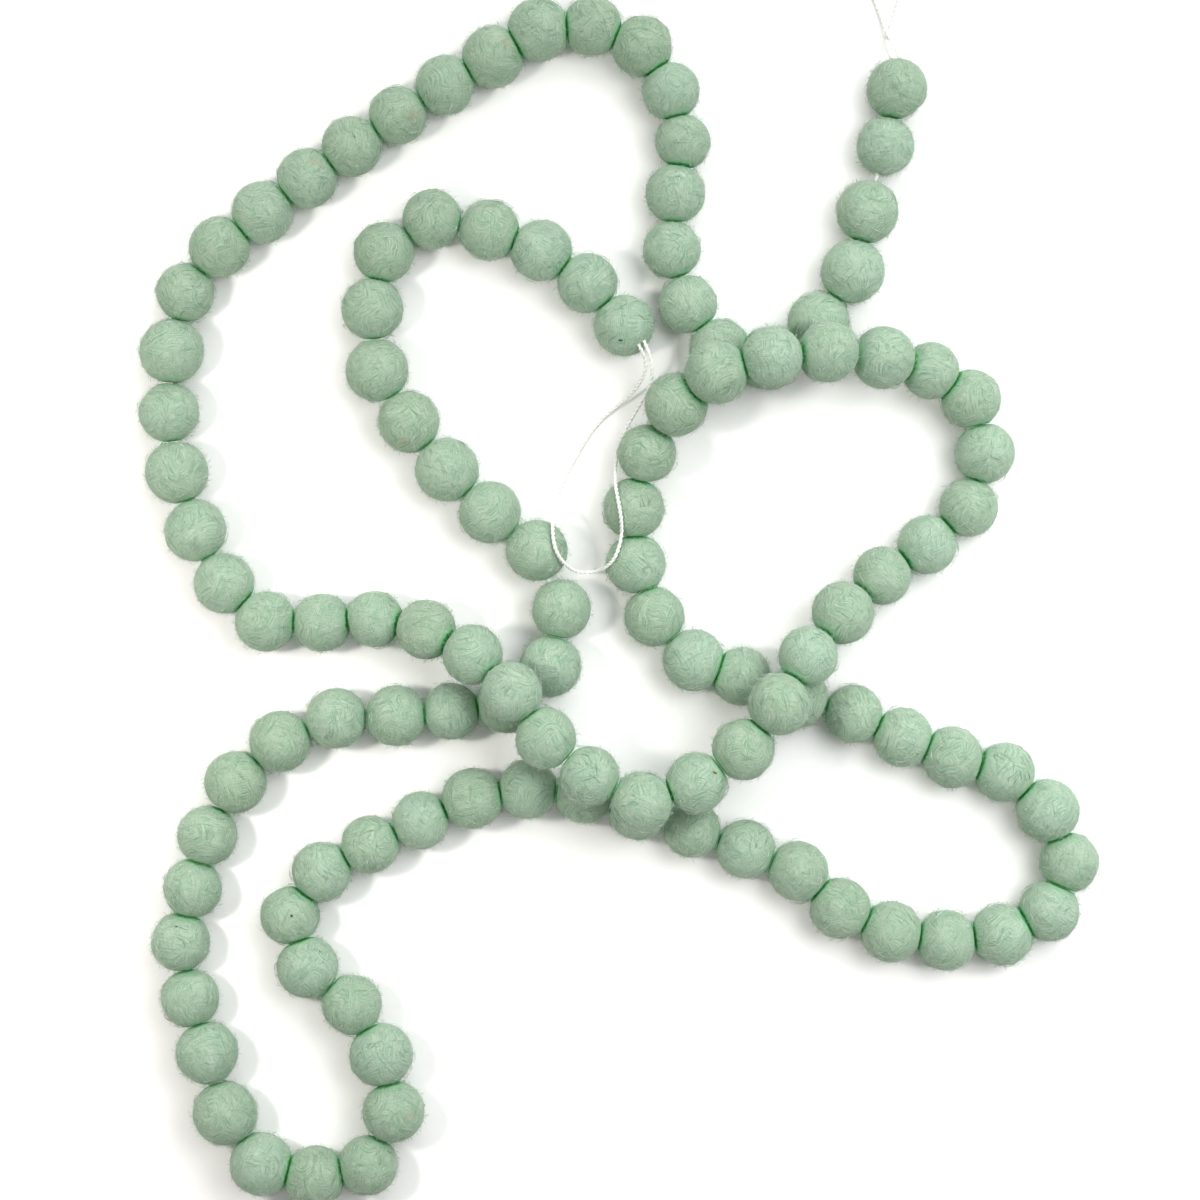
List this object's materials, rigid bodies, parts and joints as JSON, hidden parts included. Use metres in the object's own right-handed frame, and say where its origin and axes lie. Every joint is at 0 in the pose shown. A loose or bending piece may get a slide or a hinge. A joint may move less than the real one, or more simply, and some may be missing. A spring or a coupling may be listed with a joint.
{
  "type": "felt ball garland",
  "caption": "Garland of felted wool balls threaded close together on a cotton string, lying in loose loops that cross over each other, with a small hanging loop of string at each end.",
  "frame": {"origin": "on the floor, under the middle of the box round the balls (the two hanging loops of string not counted)", "axes": "+Z up from the floor, +Y the garland's longer way across, towards the end of the strand that points away, +X to the right as seen from above with +Y up"},
  "size_m": [0.3205, 0.4696, 0.0413],
  "materials": {
    "felted_wool": "matt wet-felted wool, pale mint green",
    "twisted_cotton": "white two-ply twisted cotton string"
  },
  "bodies": {
    "root": {"felt_balls_001_003": "felted_wool", "felt_balls_004_006": "felted_wool", "felt_balls_007_009": "felted_wool", "felt_balls_010_012": "felted_wool", "felt_balls_013_015": "felted_wool", "felt_balls_016_018": "felted_wool", "felt_balls_019_021": "felted_wool", "felt_balls_022_024": "felted_wool", "felt_balls_025_027": "felted_wool", "felt_balls_028_030": "felted_wool", "felt_balls_031_033": "felted_wool", "felt_balls_034_036": "felted_wool", "felt_balls_037_039": "felted_wool", "felt_balls_040_042": "felted_wool", "felt_balls_043_045": "felted_wool", "felt_balls_046_048": "felted_wool", "felt_balls_049_051": "felted_wool", "felt_balls_052_054": "felted_wool", "felt_balls_055_057": "felted_wool", "felt_balls_058_060": "felted_wool", "felt_balls_061_063": "felted_wool", "felt_balls_064_066": "felted_wool", "felt_balls_067_069": "felted_wool", "felt_balls_070_072": "felted_wool", "felt_balls_073_075": "felted_wool", "felt_balls_076_078": "felted_wool", "felt_balls_079_081": "felted_wool", "felt_balls_082_084": "felted_wool", "felt_balls_085_087": "felted_wool", "felt_balls_088_090": "felted_wool", "felt_balls_091_093": "felted_wool", "felt_balls_094_096": "felted_wool", "felt_balls_097_099": "felted_wool", "felt_balls_100_102": "felted_wool", "felt_balls_103_105": "felted_wool", "felt_balls_106_108": "felted_wool", "felt_balls_109_111": "felted_wool", "felt_balls_112_114": "felted_wool", "felt_balls_115_115": "felted_wool", "hanging_loop_end": "twisted_cotton", "hanging_loop_top": "twisted_cotton"}
  },
  "joints": []
}
